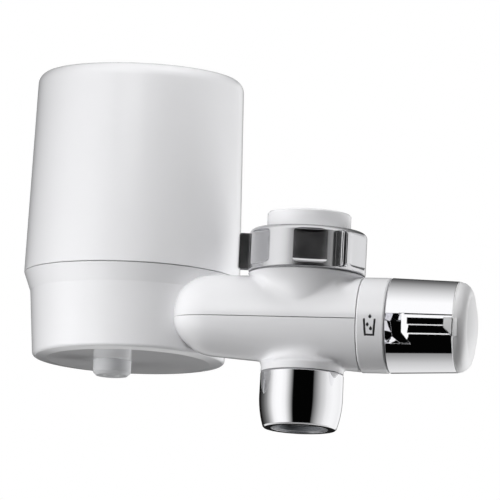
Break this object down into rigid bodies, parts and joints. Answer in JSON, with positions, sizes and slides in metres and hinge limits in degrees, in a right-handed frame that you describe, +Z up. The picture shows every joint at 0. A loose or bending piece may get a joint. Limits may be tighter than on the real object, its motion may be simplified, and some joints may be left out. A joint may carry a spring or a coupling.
{
  "type": "tap-mounted water filter",
  "caption": "White filter cup and base beside a horizontal valve with chrome coupling nut, selector knob and aerator, hung on a kitchen tap's spout.",
  "frame": {"origin": "centre of the tap adapter's mouth, on the tap's axis", "axes": "+Z up along the tap's axis, +X along the valve barrel towards the selector knob, -Y towards the front"},
  "size_m": [0.1878, 0.0888, 0.1471],
  "materials": {
    "white_abs": "moulded white, glossy",
    "grey_white_acetal": "moulded, natural",
    "white_acetal": "moulded, natural",
    "chrome_plate": "bright plated",
    "satin_plate": "satin plated",
    "black_rubber": "moulded",
    "steel_mesh": "etched",
    "steel_screw": "turned",
    "grey_polypropylene": "moulded",
    "blue_polypropylene": "moulded",
    "carbon": "pressed, porous",
    "fleece": "white fleece"
  },
  "bodies": {
    "tap_side": {"tap_adapter": "white_abs", "tap_washer": "black_rubber"},
    "main": {"valve_body": "white_acetal", "body_cover_top": "white_abs", "body_cover_bottom": "white_abs", "indicator_ring": "white_abs", "spindle_gland": "white_acetal", "coupling_washer": "black_rubber", "inlet_strainer": "steel_mesh", "nut_retainer": "white_acetal", "link_tube": "white_acetal", "link_seals": "black_rubber", "body_screws": "steel_screw", "filter_base": "white_abs", "outlet_nozzle": "grey_white_acetal", "cup_seal": "black_rubber", "cartridge_bottom_cap": "blue_polypropylene", "cartridge_seal": "black_rubber", "carbon_block": "carbon", "prefilter_sleeve": "fleece", "cartridge_top_cap": "blue_polypropylene"},
    "nut": {"coupling_nut": "chrome_plate"},
    "selector": {"selector_spindle": "white_acetal", "spindle_seals": "black_rubber", "selector_knob": "chrome_plate", "knob_screw": "steel_screw", "knob_cap": "satin_plate"},
    "cup": {"filter_cup": "white_abs"},
    "aerator": {"aerator_housing": "chrome_plate", "aerator_washer": "black_rubber", "aerator_insert": "grey_polypropylene", "aerator_screen": "steel_mesh"}
  },
  "joints": [
    {"name": "swivel", "type": "hinge", "parent": "tap_side", "child": "main", "pos_m": [0, 0, -0.014], "axis": [0, 0, 1], "continuous": true},
    {"name": "nut_turn", "type": "hinge", "parent": "main", "child": "nut", "pos_m": [0, 0, -0.016], "axis": [0, 0, 1], "continuous": true},
    {"name": "selector_turn", "type": "hinge", "parent": "main", "child": "selector", "pos_m": [0.0353, 0, -0.0444], "axis": [1, 0, 0], "range_deg": [-90, 0]},
    {"name": "cup_lift", "type": "slide", "parent": "main", "child": "cup", "axis": [0, 0, 1], "range_m": [0, 0.1]},
    {"name": "aerator_turn", "type": "hinge", "parent": "main", "child": "aerator", "pos_m": [0, 0, -0.0646], "axis": [0, 0, 1], "continuous": true}
  ]
}
